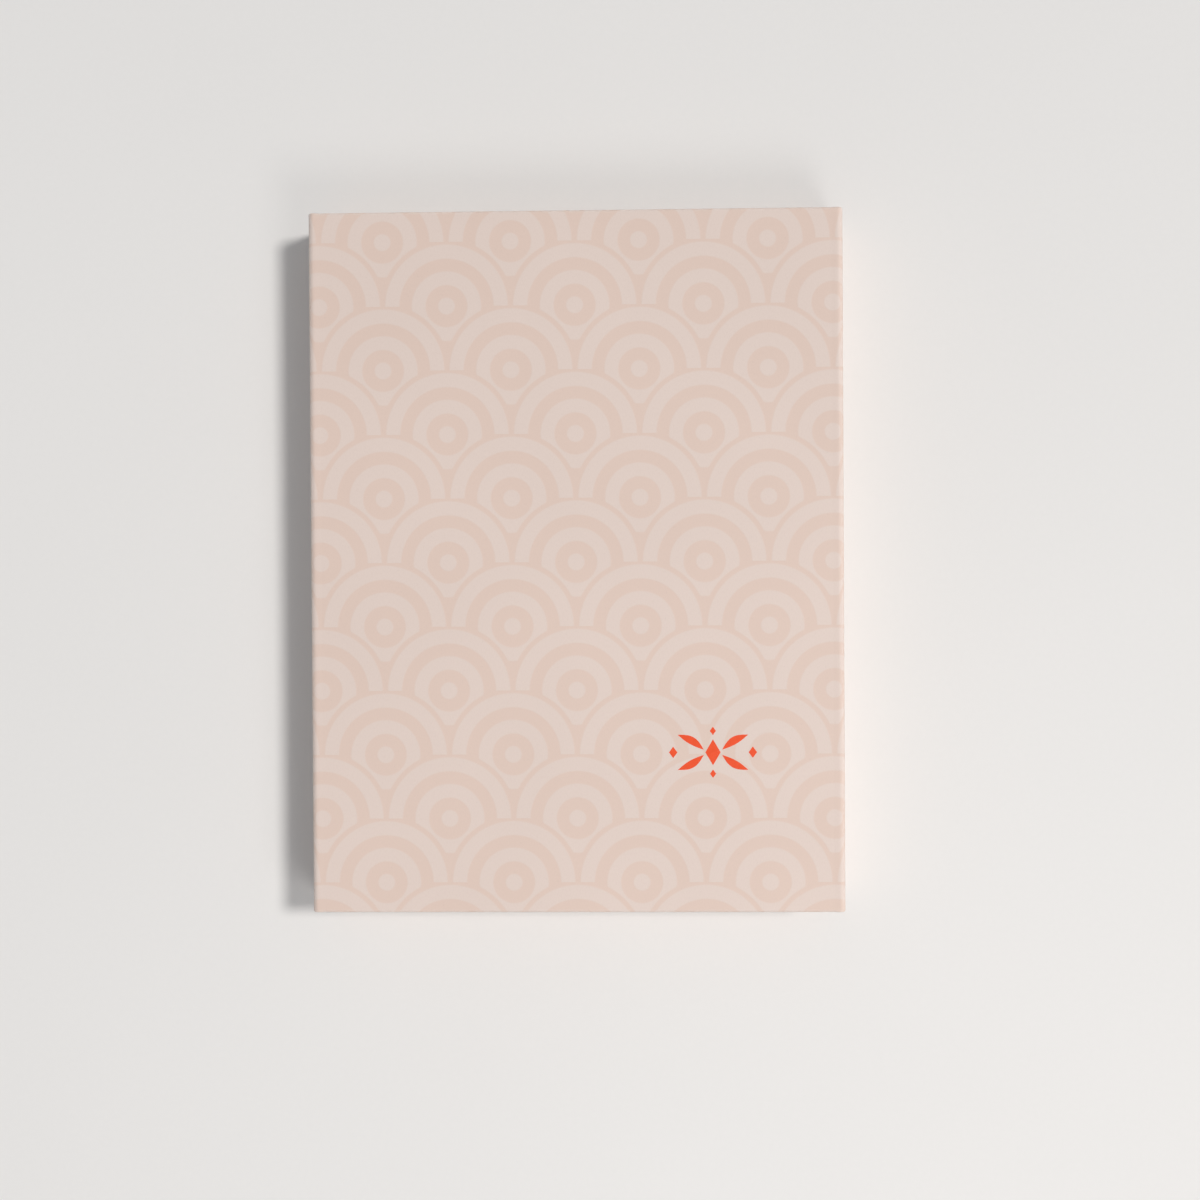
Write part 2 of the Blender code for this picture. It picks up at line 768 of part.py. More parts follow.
def flap_wrap():
    """Cover paper over the flap, from its half of the crease down, with three turned-in margins."""
    section = [*reversed(crease_half(1, above=False)), (RIGHT, FLAP_LIFT)]
    bm = sheet_from_section(at_front(section), Y_AXIS, BOX_LENGTH)
    turn_in(
        bm,
        panel=(X_AXIS, RIGHT),
        sides=[(Y_AXIS, BACK), (-Y_AXIS, BACK), (-Z_AXIS, -FLAP_LIFT)],
        creases=[(Z_AXIS, TOP - CREASE_REACH)],
        depth=COVERED_BOARD,
        margin=FLAP_TURN_IN,
    )
    return paper("flap_wrap", bm, COVER, COVER_PAPER, X_AXIS)


def flap_liner():
    return liner(
        "flap_liner",
        (RIGHT - LINED_BOARD, FRONT + LINER_INSET, FLAP_LIFT + LINER_INSET),
        (
            RIGHT - LINED_BOARD + LINER_PAPER,
            BACK - LINER_INSET,
            TOP - CREASE_REACH - LINER_CREASE_INSET,
        ),
    )


def build():
    base_board()
    spine_board()
    base_wrap()
    spine_liner()
    tray_board()
    tray_wrap()
    tray_liner()
    magnets("tray", TRAY_MAGNET, TRAY_RIGHT - SKIN - TRAY_BOARD / 2)
    insert_spacer()
    insert_platform()
    insert_facing()
    pull_ribbon()
    gift_card()
    envelope()
    note_card()

    lid_hinge = lid_empty()
    flap_hinge = flap_empty(lid_hinge)
    hang_on(lid_hinge.location, lid_hinge, [lid_board(), lid_wrap(), lid_liner()])
    flap_magnets = magnets("flap", FLAP_MAGNET, RIGHT - SKIN - CASE_BOARD / 2)
    flap_pieces = [flap_board(), flap_wrap(), flap_liner(), *flap_magnets]
    hang_on((FLAP_HINGE_X, 0, HINGE_Z), flap_hinge, flap_pieces)


build()
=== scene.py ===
"""The looks of the gift card box: covers, linings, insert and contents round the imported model.

Metres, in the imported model's own frame. MM turns millimetres into metres.
"""

import math

import bmesh
import bpy
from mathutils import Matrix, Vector

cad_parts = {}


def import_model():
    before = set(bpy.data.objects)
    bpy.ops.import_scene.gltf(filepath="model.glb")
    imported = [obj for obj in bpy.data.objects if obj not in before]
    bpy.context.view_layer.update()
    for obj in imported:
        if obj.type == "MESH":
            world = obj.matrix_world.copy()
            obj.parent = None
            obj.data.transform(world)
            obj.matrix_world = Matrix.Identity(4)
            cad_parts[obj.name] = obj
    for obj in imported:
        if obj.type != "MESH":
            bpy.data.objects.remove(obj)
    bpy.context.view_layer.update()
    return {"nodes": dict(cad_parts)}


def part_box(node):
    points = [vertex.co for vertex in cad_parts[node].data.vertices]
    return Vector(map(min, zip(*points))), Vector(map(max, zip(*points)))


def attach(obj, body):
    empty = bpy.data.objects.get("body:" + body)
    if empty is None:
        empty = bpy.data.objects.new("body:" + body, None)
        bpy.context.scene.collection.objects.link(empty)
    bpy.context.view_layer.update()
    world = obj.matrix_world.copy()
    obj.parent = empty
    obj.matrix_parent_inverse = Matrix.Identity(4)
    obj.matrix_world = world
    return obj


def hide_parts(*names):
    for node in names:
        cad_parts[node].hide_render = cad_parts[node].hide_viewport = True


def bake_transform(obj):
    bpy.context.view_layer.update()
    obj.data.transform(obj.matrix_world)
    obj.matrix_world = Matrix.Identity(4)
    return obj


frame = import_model()
NODES = frame["nodes"]

MM = 0.001
X_AXIS = Vector((1, 0, 0))
Y_AXIS = Vector((0, 1, 0))
Z_AXIS = Vector((0, 0, 1))

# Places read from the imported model
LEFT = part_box("base_wrap")[0].x
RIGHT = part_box("flap_wrap")[1].x
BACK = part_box("lid_wrap")[1].y
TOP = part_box("lid_wrap")[1].z
BASE_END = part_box("base_wrap")[1].x
FLAP_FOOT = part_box("flap_wrap")[0].z
LID_BOARD_LOW, LID_BOARD_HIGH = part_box("lid_board")
LINER_LOW, LINER_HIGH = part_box("lid_liner")
SPINE_LINER_LOW, SPINE_LINER_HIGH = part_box("spine_liner")
FLAP_LINER_LOW, FLAP_LINER_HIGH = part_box("flap_liner")
PLATFORM_LOW, PLATFORM_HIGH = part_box("insert_platform")
SPACER_LOW, SPACER_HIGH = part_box("insert_spacer")
FACING_LOW, FACING_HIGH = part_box("insert_facing")
CARD_LOW, CARD_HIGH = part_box("gift_card")
ENVELOPE_LOW, ENVELOPE_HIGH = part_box("envelope")
RIBBON_LOW, RIBBON_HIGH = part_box("pull_ribbon")
MIDDLE_X = (PLATFORM_LOW.x + PLATFORM_HIGH.x) / 2
ENVELOPE_TIP_Y = ENVELOPE_HIGH.y - 0.56 * (ENVELOPE_HIGH.y - ENVELOPE_LOW.y)

# Case papers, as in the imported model
SKIN = TOP - LID_BOARD_HIGH.z
COVERED = TOP - LID_BOARD_LOW.z + SKIN
REACH = RIGHT - LID_BOARD_HIGH.x
BEND_RADIUS = 1.5 * MM
FOLD_RADIUS = 0.75 * MM
COVER_PAPER = 0.25 * MM
LINING_PAPER = 0.2 * MM
TURN_IN = 15.0 * MM
FLAP_TURN_IN = 9.0 * MM
HEM_GAP = 0.05 * MM
HEM_DEPTH = 2 * COVER_PAPER + HEM_GAP
HEM_ROUND = 0.45 * MM
HEM_EASE = 0.06 * MM
BOARD_END_COVER = COVERED - FOLD_RADIUS - 2 * HEM_GAP
SAME_PLACE = 0.0003 * MM
SHARP_FOLD = math.radians(50.0)
SMOOTH_BELOW = 40.0
SMOOTH_SHEET_BELOW = 35.0

# Insert and contents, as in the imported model
INSERT_CORNER = 1.0 * MM
WELL_ROUND = 2.5 * MM
CARD_PLAY = 1.0 * MM
ENVELOPE_PLAY = 1.0 * MM
NOTCH_WIDTH = 22.0 * MM
NOTCH_DEPTH_SHARE = 0.38
CARD_CORNER = 3.18 * MM


# Materials


class Paint:
    """One node material. Inputs are sockets or plain values."""

    def __init__(self, name, **settings):
        self.material = bpy.data.materials.new(name)
        self.material.use_nodes = True
        self.tree = self.material.node_tree
        self.shader = self.tree.nodes["Principled BSDF"]
        for socket, value in settings.items():
            self.feed(self.shader.inputs[socket.replace("_", " ")], value)

    def feed(self, socket, value):
        if isinstance(value, bpy.types.NodeSocket):
            self.tree.links.new(value, socket)
        elif socket.type == "VECTOR":
            socket.default_value = value[:3]
        else:
            socket.default_value = value

    def node(self, kind, inputs=None, **settings):
        made = self.tree.nodes.new(kind)
        for key, value in settings.items():
            setattr(made, key, value)
        for key, value in (inputs or {}).items():
            self.feed(made.inputs[key], value)
        return made

    def calc(self, operation, *values, clamp=False):
        made = self.node("ShaderNodeMath", operation=operation, use_clamp=clamp)
        for socket, value in zip(made.inputs, values):
            self.feed(socket, value)
        return made.outputs[0]

    def place(self, attribute=None):
        """The rest place of a point, or an attribute of the mesh."""
        if attribute is None:
            return self.node("ShaderNodeTexCoord").outputs["Object"]
        return self.node("ShaderNodeAttribute", attribute_name=attribute).outputs["Vector"]

    def split(self, vector):
        return self.node("ShaderNodeSeparateXYZ", {"Vector": vector}).outputs

    def step(self, value, low, high, out_low=0.0, out_high=1.0):
        """Smooth step of a value from low to high."""
        made = self.node(
            "ShaderNodeMapRange",
            {"Value": value, "From Min": low, "From Max": high, "To Min": out_low, "To Max": out_high},
            interpolation_type="SMOOTHSTEP",
        )
        return made.outputs["Result"]

    def noise(self, vector, size, detail=2.0, roughness=0.5):
        """Noise whose features are about size across."""
        inputs = {"Vector": vector, "Scale": 1 / size, "Detail": detail, "Roughness": roughness}
        return self.node("ShaderNodeTexNoise", inputs).outputs["Fac"]

    def cells(self, vector, size, feature="F1", output="Distance"):
        made = self.node("ShaderNodeTexVoronoi", {"Vector": vector, "Scale": 1 / size}, feature=feature)
        return made.outputs[output]

    def stretch(self, vector, x, y, z):
        inputs = {"Vector": vector, "Scale": (x, y, z)}
        return self.node("ShaderNodeMapping", inputs).outputs["Vector"]

    def mix(self, factor, first, second):
        made = self.node("ShaderNodeMix", data_type="RGBA")
        self.feed(made.inputs["Factor"], factor)
        for key, value in (("A", first), ("B", second)):
            socket = next(s for s in made.inputs if s.name == key and s.type == "RGBA")
            self.feed(socket, value)
        return next(s for s in made.outputs if s.type == "RGBA")

    def tint(self, colour, *factors):
        """Multiplies a colour by (factor, amount) pairs, each centred on no change."""
        for factor, amount in factors:
            gain = self.calc("MULTIPLY_ADD", self.calc("SUBTRACT", factor, 0.5), 2 * amount, 1.0)
            scale = self.node("ShaderNodeVectorMath", operation="SCALE")
            self.feed(scale.inputs[0], colour)
            self.feed(scale.inputs["Scale"], gain)
            colour = scale.outputs[0]
        return colour

    def bump(self, height, distance, normal=None):
        inputs = {"Height": height, "Distance": distance, "Strength": 1.0}
        if normal is not None:
            inputs["Normal"] = normal
        return self.node("ShaderNodeBump", inputs).outputs["Normal"]

    def finish(self, colour, roughness=None, normal=None):
        self.feed(self.shader.inputs["Base Color"], colour)
        if roughness is not None:
            self.feed(self.shader.inputs["Roughness"], roughness)
        if normal is not None:
            self.feed(self.shader.inputs["Normal"], normal)
        return self.material


BLUSH = (0.732, 0.580, 0.505, 1)
BLUSH_PRINT = (0.746, 0.628, 0.570, 1)
BLUSH_CORE = (0.82, 0.74, 0.69, 1)
SCALE_RADIUS = 16.8 * MM
RINGS = ((12.4 * MM, 16.1 * MM), (5.5 * MM, 9.1 * MM), (-1.0 * MM, 2.2 * MM))
PRINT_EDGE = 0.28 * MM
OUTLINE_SHARE = 0.036
IMPRINT = 0.07 * MM
IMPRINT_EDGE = 0.5 * MM
CARD_PRINT_SHARE = 0.42


def scallops(paint, u, v, radius=SCALE_RADIUS, rings=RINGS, soft=PRINT_EDGE):
    """1 on the printed rings of rows of overlapping scales, each row half a scale along from the last."""
    row = paint.calc("FLOOR", paint.calc("DIVIDE", v, radius))
    up = paint.calc("SUBTRACT", v, paint.calc("MULTIPLY", row, radius))
    odd = paint.calc("FLOORED_MODULO", row, 2.0)
    along = paint.calc("ADD", paint.calc("DIVIDE", u, 2 * radius), paint.calc("MULTIPLY", odd, 0.5))

    def distance(shift, height):
        off = paint.calc("SUBTRACT", paint.calc("FRACT", paint.calc("ADD", along, shift)), 0.5)
        side = paint.calc("MULTIPLY", off, 2 * radius)
        squares = paint.calc("ADD", paint.calc("POWER", side, 2.0), paint.calc("POWER", height, 2.0))
        return paint.calc("SQRT", squares)

    near = distance(0.5, up)
    far = distance(0.0, paint.calc("SUBTRACT", radius, up))
    inside = paint.calc("LESS_THAN", near, radius)
    outer = radius * (1 + OUTLINE_SHARE)
    beyond = paint.step(near, outer - soft, outer + soft)
    clear = paint.calc("MAXIMUM", inside, beyond)
    place = paint.calc(
        "ADD",
        paint.calc("MULTIPLY", near, inside),
        paint.calc("MULTIPLY", far, paint.calc("SUBTRACT", 1.0, inside)),
    )
    printed = None
    for low, high in rings:
        ring = paint.calc(
            "MULTIPLY",
            paint.step(place, low - soft, low + soft),
            paint.step(place, high - soft, high + soft, 1.0, 0.0),
        )
        printed = ring if printed is None else paint.calc("MAXIMUM", printed, ring)
    return paint.calc("MULTIPLY", printed, clear)


def fold_wear(paint, u, v, fine):
    """1 along the folds of the case's sheet, broken up by noise."""
    lines = []
    for value, place in ((v, BACK), (u, RIGHT), (u, RIGHT + TOP)):
        off = paint.calc("ABSOLUTE", paint.calc("SUBTRACT", paint.calc("ABSOLUTE", value), place))
        lines.append(paint.step(off, 0.1 * MM, 1.1 * MM, 1.0, 0.0))
    worn = paint.calc("MAXIMUM", paint.calc("MAXIMUM", lines[0], lines[1]), lines[2])
    return paint.calc("MULTIPLY", worn, paint.step(fine, 0.35, 0.65))


def imprints(paint, at):
    """1 where the paper is stretched over a magnet of the flap, or of the tray's wall behind it."""
    x, y, z = paint.split(at)
    found = None
    for node in ("flap_magnet_front", "flap_magnet_back"):
        low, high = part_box(node)
        centre, radius = (low + high) / 2, (high.y - low.y) / 2
        off_y = paint.calc("POWER", paint.calc("SUBTRACT", y, centre.y), 2.0)
        off_z = paint.calc("POWER", paint.calc("SUBTRACT", z, centre.z), 2.0)
        off = paint.calc("SQRT", paint.calc("ADD", off_y, off_z))
        disc = paint.step(off, radius, radius + IMPRINT_EDGE, 1.0, 0.0)
        found = disc if found is None else paint.calc("MAXIMUM", found, disc)
    return paint.calc("MULTIPLY", found, paint.calc("GREATER_THAN", x, RIGHT - 8 * MM))


def cover_paper(name, attribute):
    """Soft-touch blush paper. With an attribute it has the print, laid out on the flat sheet."""
    paint = Paint(name, Specular_IOR_Level=0.35, Sheen_Weight=0.08, Sheen_Roughness=0.4)
    at = paint.place(attribute)
    cloud = paint.noise(at, 45 * MM)
    fibre = paint.noise(paint.stretch(at, 1.0, 0.45, 1.0), 0.35 * MM, 3.0, 0.6)
    grain = paint.noise(at, 0.12 * MM, 2.0)
    colour = BLUSH
    height = paint.calc("MULTIPLY", grain, 0.5)
    gloss = paint.calc("MULTIPLY_ADD", fibre, 0.10, 0.52)
    if attribute:
        u, v, _ = paint.split(at)
        printed = scallops(paint, u, v)
        ink = paint.calc("MULTIPLY", printed, paint.step(fibre, 0.18, 0.5, 0.72, 1.0))
        colour = paint.mix(ink, BLUSH, BLUSH_PRINT)
        worn = fold_wear(paint, u, v, paint.noise(at, 1.3 * MM, 3.0))
        colour = paint.mix(paint.calc("MULTIPLY", worn, 0.35), colour, BLUSH_CORE)
        height = paint.calc("MULTIPLY_ADD", printed, 0.6, height)
        gloss = paint.calc("SUBTRACT", gloss, paint.calc("MULTIPLY", printed, 0.05))
    speck = paint.step(paint.cells(at, 2.6 * MM), 0.05, 0.10)
    colour = paint.tint(colour, (cloud, 0.03), (fibre, 0.035), (paint.calc("MULTIPLY", speck, 0.5), 0.03))
    swell = paint.bump(paint.noise(at, 9 * MM), 0.06 * MM)
    if attribute is None:
        swell = paint.bump(imprints(paint, at), IMPRINT, swell)
    return paint.finish(colour, gloss, paint.bump(height, 0.012 * MM, swell))


def lining_paper(name):
    paint = Paint(name, Specular_IOR_Level=0.3, Sheen_Weight=0.05)
    at = paint.place("sheet")
    felt = paint.noise(paint.stretch(at, 1.0, 0.35, 1.0), 0.5 * MM, 4.0, 0.65)
    cloud = paint.noise(at, 20 * MM, 2.0)
    fleck = paint.step(paint.noise(paint.stretch(at, 1.0, 0.22, 1.0), 0.22 * MM, 1.0), 0.70, 0.78)
    colour = paint.mix(cloud, (0.78, 0.69, 0.61, 1), (0.82, 0.74, 0.66, 1))
    colour = paint.mix(paint.calc("MULTIPLY", fleck, 0.28), colour, (0.66, 0.53, 0.45, 1))
    colour = paint.tint(colour, (felt, 0.06))
    gloss = paint.calc("MULTIPLY_ADD", felt, 0.15, 0.68)
    pressed = paint.bump(imprints(paint, at), IMPRINT)
    return paint.finish(colour, gloss, paint.bump(felt, 0.03 * MM, pressed))


def greyboard():
    paint = Paint("greyboard_fibres", Specular_IOR_Level=0.2)
    at = paint.place()
    fibre = paint.noise(paint.stretch(at, 1.0, 0.4, 1.6), 0.5 * MM, 5.0, 0.7)
    layer = paint.noise(paint.stretch(at, 0.2, 0.2, 6.0), 1.2 * MM, 3.0)
    colour = paint.mix(fibre, (0.20, 0.18, 0.155, 1), (0.46, 0.42, 0.37, 1))
    colour = paint.tint(colour, (layer, 0.15))
    return paint.finish(colour, 0.95, paint.bump(fibre, 0.06 * MM))


def foam_cells():
    paint = Paint("foam_cells", Specular_IOR_Level=0.25)
    at = paint.place()
    cell = paint.cells(at, 0.35 * MM)
    cloud = paint.noise(at, 14 * MM)
    colour = paint.mix(cell, (0.74, 0.63, 0.56, 1), (0.62, 0.51, 0.45, 1))
    colour = paint.tint(colour, (cloud, 0.03))
    return paint.finish(colour, paint.calc("MULTIPLY_ADD", cell, 0.15, 0.8), paint.bump(cell, -0.06 * MM))


def flocked_paper():
    paint = Paint("flocked_facing", Specular_IOR_Level=0.15, Sheen_Weight=0.45, Sheen_Roughness=0.6)
    at = paint.place()
    pile = paint.noise(at, 0.16 * MM, 4.0, 0.7)
    brushed = paint.noise(paint.stretch(at, 0.5, 1.0, 1.0), 6 * MM, 3.0)
    colour = paint.mix(pile, (0.60, 0.43, 0.37, 1), (0.80, 0.66, 0.59, 1))
    colour = paint.tint(colour, (brushed, 0.06))
    return paint.finish(colour, 0.9, paint.bump(pile, 0.05 * MM))


def satin():
    paint = Paint("satin_weave", Specular_IOR_Level=0.5, Anisotropic=0.6, Sheen_Weight=0.2)
    at = paint.place("sheet")
    along, across, _ = paint.split(at)
    warp = paint.calc("SINE", paint.calc("MULTIPLY", across, math.tau / (0.22 * MM)))
    weft = paint.calc("SINE", paint.calc("MULTIPLY", along, math.tau / (0.35 * MM)))
    weave = paint.calc("MULTIPLY_ADD", weft, 0.35, warp)
    off = paint.calc("ABSOLUTE", across)
    half = (RIBBON_HIGH.y - RIBBON_LOW.y) / 2
    edge = paint.step(off, half - 1.1 * MM, half - 0.7 * MM)
    slub = paint.noise(paint.stretch(at, 0.08, 1.0, 1.0), 0.4 * MM, 3.0)
    colour = paint.mix(edge, (0.80, 0.19, 0.085, 1), (0.70, 0.15, 0.065, 1))
    colour = paint.tint(colour, (slub, 0.10))
    gloss = paint.calc("MULTIPLY_ADD", slub, 0.12, 0.26)
    return paint.finish(colour, gloss, paint.bump(weave, 0.008 * MM))


def foil(name):
    """Pigment foil, stamped a little unevenly."""
    paint = Paint(name, Specular_IOR_Level=0.35, Coat_Weight=0.15, Coat_Roughness=0.2)
    at = paint.place()
    wave = paint.noise(at, 1.4 * MM, 3.0)
    pin = paint.step(paint.noise(at, 0.18 * MM, 2.0), 0.22, 0.34)
    colour = paint.mix(pin, (0.80, 0.29, 0.17, 1), (0.86, 0.082, 0.018, 1))
    colour = paint.tint(colour, (wave, 0.08))
    return paint.finish(colour, paint.calc("MULTIPLY_ADD", wave, 0.2, 0.28), paint.bump(wave, 0.02 * MM))


def card_face():
    """Satin laminated card: the cover's scallops made smaller, on a ground that fades along the card."""
    paint = Paint("card_print", Specular_IOR_Level=0.5, Coat_Weight=0.25, Coat_Roughness=0.25)
    at = paint.place()
    x, y, _ = paint.split(at)
    small = tuple((CARD_PRINT_SHARE * low, CARD_PRINT_SHARE * high) for low, high in RINGS)
    printed = scallops(paint, x, y, CARD_PRINT_SHARE * SCALE_RADIUS, small, 0.06 * MM)
    down = paint.step(y, CARD_LOW.y, CARD_HIGH.y)
    ground = paint.mix(down, (0.80, 0.44, 0.34, 1), (0.82, 0.60, 0.51, 1))
    light = paint.mix(down, (0.84, 0.55, 0.45, 1), (0.86, 0.71, 0.63, 1))
    colour = paint.mix(printed, ground, light)
    rub = paint.noise(paint.stretch(at, 1.0, 3.0, 1.0), 5 * MM, 5.0, 0.7)
    colour = paint.tint(colour, (rub, 0.02))
    return paint.finish(colour, paint.calc("MULTIPLY_ADD", rub, 0.14, 0.28), paint.bump(rub, 0.004 * MM))


def laid_paper():
    paint = Paint("laid_paper", Specular_IOR_Level=0.25, Sheen_Weight=0.05)
    at = paint.place("sheet")
    along, across, _ = paint.split(at)
    lines = paint.calc("SINE", paint.calc("MULTIPLY", across, math.tau / (0.9 * MM)))
    chains = paint.calc("SINE", paint.calc("MULTIPLY", along, math.tau / (24 * MM)))
    chain = paint.step(chains, 0.985, 1.0)
    fibre = paint.noise(at, 0.5 * MM, 4.0, 0.65)
    cloud = paint.noise(at, 18 * MM)
    colour = paint.mix(cloud, (0.83, 0.76, 0.68, 1), (0.86, 0.80, 0.73, 1))
    colour = paint.tint(colour, (fibre, 0.04), (paint.calc("MULTIPLY_ADD", lines, 0.5, 0.5), 0.012))
    height = paint.calc("MULTIPLY_ADD", chain, 0.8, paint.calc("MULTIPLY_ADD", lines, 0.35, fibre))
    roughness = paint.calc("MULTIPLY_ADD", fibre, 0.1, 0.75)
    return paint.finish(colour, roughness, paint.bump(height, 0.02 * MM))


def card_stock():
    paint = Paint("note_stock", Specular_IOR_Level=0.25)
    at = paint.place()
    felt = paint.noise(at, 0.6 * MM, 4.0, 0.6)
    colour = paint.mix(felt, (0.86, 0.82, 0.76, 1), (0.90, 0.87, 0.82, 1))
    return paint.finish(colour, paint.calc("MULTIPLY_ADD", felt, 0.1, 0.75), paint.bump(felt, 0.03 * MM))


def nickel():
    paint = Paint("nickel_plate", Metallic=1.0)
    at = paint.place()
    scuff = paint.noise(paint.stretch(at, 1.0, 1.0, 4.0), 1.2 * MM, 4.0)
    colour = paint.mix(scuff, (0.50, 0.49, 0.47, 1), (0.62, 0.61, 0.60, 1))
    return paint.finish(colour, paint.calc("MULTIPLY_ADD", scuff, 0.2, 0.2), paint.bump(scuff, 0.01 * MM))


def floor_paint():
    paint = Paint("floor_matte", Specular_IOR_Level=0.2)
    at = paint.place()
    cloud = paint.noise(at, 180 * MM, 3.0)
    grain = paint.noise(at, 1.5 * MM, 2.0)
    colour = paint.mix(cloud, (0.79, 0.785, 0.775, 1), (0.82, 0.815, 0.805, 1))
    return paint.finish(paint.tint(colour, (grain, 0.01)), 0.85)


PRINTED = cover_paper("cover_printed", "sheet")
PLAIN = cover_paper("cover_plain", None)
LINING = lining_paper("lining_felt")
BOARD = greyboard()
FOAM = foam_cells()
FLOCK = flocked_paper()
SATIN = satin()
FOIL = foil("coral_foil")
CARD_FACE = card_face()
LAID = laid_paper()
STOCK = card_stock()
NICKEL = nickel()


# Meshes


def mesh_piece(name, bm, material):
    mesh = bpy.data.meshes.new(name)
    bm.to_mesh(mesh)
    bm.free()
    mesh.materials.append(material)
    obj = bpy.data.objects.new(name, mesh)
    bpy.context.scene.collection.objects.link(obj)
    return obj


def settle(obj, smooth_below=SMOOTH_BELOW):
    """Applies the modifiers, so that the mesh is final, and smooths what bends gently."""
    graph = bpy.context.evaluated_depsgraph_get()
    graph.update()
    mesh = bpy.data.meshes.new_from_object(obj.evaluated_get(graph))
    obj.modifiers.clear()
    if obj.type == "CURVE":
        name, material = obj.name, obj.data.materials[0]
        bpy.data.objects.remove(obj)
        obj = bpy.data.objects.new(name, mesh)
        bpy.context.scene.collection.objects.link(obj)
        if not mesh.materials:
            mesh.materials.append(material)
    else:
        obj.data = mesh
    soften(mesh, smooth_below)
    return obj


def soften(mesh, smooth_below):
    mesh.polygons.foreach_set("use_smooth", [True] * len(mesh.polygons))
    mesh.set_sharp_from_angle(angle=math.radians(smooth_below))


def lay_out(obj, place):
    """Stores each point's place on the flat sheet, worked out from its rest place."""
    layer = obj.data.attributes.new("sheet", "FLOAT_VECTOR", "POINT")
    flat = [number for vertex in obj.data.vertices for number in place(vertex.co)]
    layer.data.foreach_set("vector", flat)


def extrude(bm, edges, move):
    made = bmesh.ops.extrude_edge_only(bm, edges=edges)["geom"]
    points = [item for item in made if isinstance(item, bmesh.types.BMVert)]
    bmesh.ops.translate(bm, verts=points, vec=move)
    new_points = set(points)
    kept = [i for i in made if isinstance(i, bmesh.types.BMEdge) and new_points.issuperset(i.verts)]
    return kept, points


def arc(centre, radius, start, end, count):
    angles = [math.radians(start + (end - start) * i / count) for i in range(count + 1)]
    return [(centre[0] + radius * math.cos(a), centre[1] + radius * math.sin(a)) for a in angles]


def on_plane(point, plane):
    return abs(point.dot(plane[0]) - plane[1]) < SAME_PLACE


def turn_in(bm, panel, sides, creases, margin):
    """Folds a panel's free sides round its board, with mitred margins, and up the board at its creases."""
    free = [
        edge
        for edge in bm.edges
        if edge.is_boundary
        and all(on_plane(end.co, panel) for end in edge.verts)
        and any(all(on_plane(end.co, side) for end in edge.verts) for side in sides)
    ]
    wall, wall_points = extrude(bm, free, -panel[0] * COVERED)
    pull_back(wall_points, creases, -COVER_PAPER)
    margin_points = extrude(bm, wall, Vector())[1]
    pull_back(margin_points, sides, margin)
    for normal, distance in creases:
        cover_board_end(bm, panel[0], sides, (normal, distance + COVER_PAPER))


def pull_back(points, planes, amount):
    for point in points:
        for plane in planes:
            if on_plane(point.co, plane):
                point.co -= plane[0] * amount


def cover_board_end(bm, outward, sides, crease):
    """A face that joins the margin and the wall at a crease, up the end of the board."""
    margin_edges = [
        edge
        for edge in bm.edges
        if edge.is_boundary and all(on_plane(end.co, crease) for end in edge.verts)
    ]

    def inwards(end):
        return not any(on_plane(end.co, side) for side in sides)

    for edge in margin_edges:
        corner, inner = sorted(edge.verts, key=inwards)
        upright = next(e for e in corner.link_edges if e.is_boundary and e is not edge)
        top = bmesh.utils.edge_split(upright, corner, BOARD_END_COVER / COVERED)[1]
        top.co += crease[0] * (crease[1] - top.co.dot(crease[0]))
        inner_top = bm.verts.new(inner.co + outward * BOARD_END_COVER)
        bm.faces.new((corner, top, inner_top, inner))
        bm.edges.get((corner, top)).seam = True


def case_cover(name, outside, panels):
    """A cover of the case: flat panels along the whole length, with their margins turned in.

    Each panel is a pair of (x, z) ends, a plane, its free sides, its creases and its margin."""
    bm = bmesh.new()
    for ends, *folds in panels:
        corners = [bm.verts.new((x, -BACK, z)) for x, z in ends]
        extrude(bm, [bm.edges.new(corners)], Y_AXIS * (2 * BACK))
        turn_in(bm, *folds)
    bmesh.ops.recalc_face_normals(bm, faces=bm.faces)
    outermost = max(bm.faces, key=lambda face: face.calc_center_median().dot(outside))
    if outermost.normal.dot(outside) < 0:
        bmesh.ops.reverse_faces(bm, faces=bm.faces)
    weight = bm.edges.layers.float.new("bevel_weight_edge")
    for edge in bm.edges:
        if len(edge.link_faces) == 2 and not edge.seam and edge.calc_face_angle() > SHARP_FOLD:
            edge[weight] = 1.0
    obj = mesh_piece(name, bm, PRINTED)
    folds = obj.modifiers.new("folds", "BEVEL")
    folds.width = FOLD_RADIUS
    folds.segments = 6
    folds.limit_method = "WEIGHT"
    thick = obj.modifiers.new("thick", "SOLIDIFY")
    thick.thickness = COVER_PAPER
    thick.offset = -1
    thick.use_even_offset = True
    return settle(obj)


def turned(y, depth):
    """Place across the flat sheet of a point at some depth on a panel's end wall or on its margin."""
    end = math.copysign(1, y)
    if depth < COVERED - FOLD_RADIUS / 2:
        return y + end * depth
    return end * (2 * BACK + COVERED - abs(y))


def lid_place(co):
    return co.x, turned(co.y, TOP - co.z), 0.0


def flap_place(co):
    depth = RIGHT - co.x
    foot = depth if co.z < FLAP_FOOT + FOLD_RADIUS / 2 else 0.0
    return RIGHT + TOP - co.z + foot, turned(co.y, depth), 0.0


def base_place(co):
    if co.x < LEFT + REACH - 2 * COVER_PAPER or co.z > COVERED + SAME_PLACE:
        return LEFT - (TOP - co.z), turned(co.y, co.x - LEFT), 0.0
    edge = co.z if co.x > BASE_END - FOLD_RADIUS / 2 else 0.0
    return LEFT - TOP - (co.x - LEFT) - edge, turned(co.y, co.z), 0.0


def crease_place(co):
    """Place on the flat sheet for a point of a crease; the lower one lies past the whole spine."""
    side = math.copysign(1, co.x)
    drop, inset = TOP - co.z, RIGHT - abs(co.x)
    return side * (RIGHT + drop + (inset if drop > TOP / 2 else -inset)), co.y, 0.0


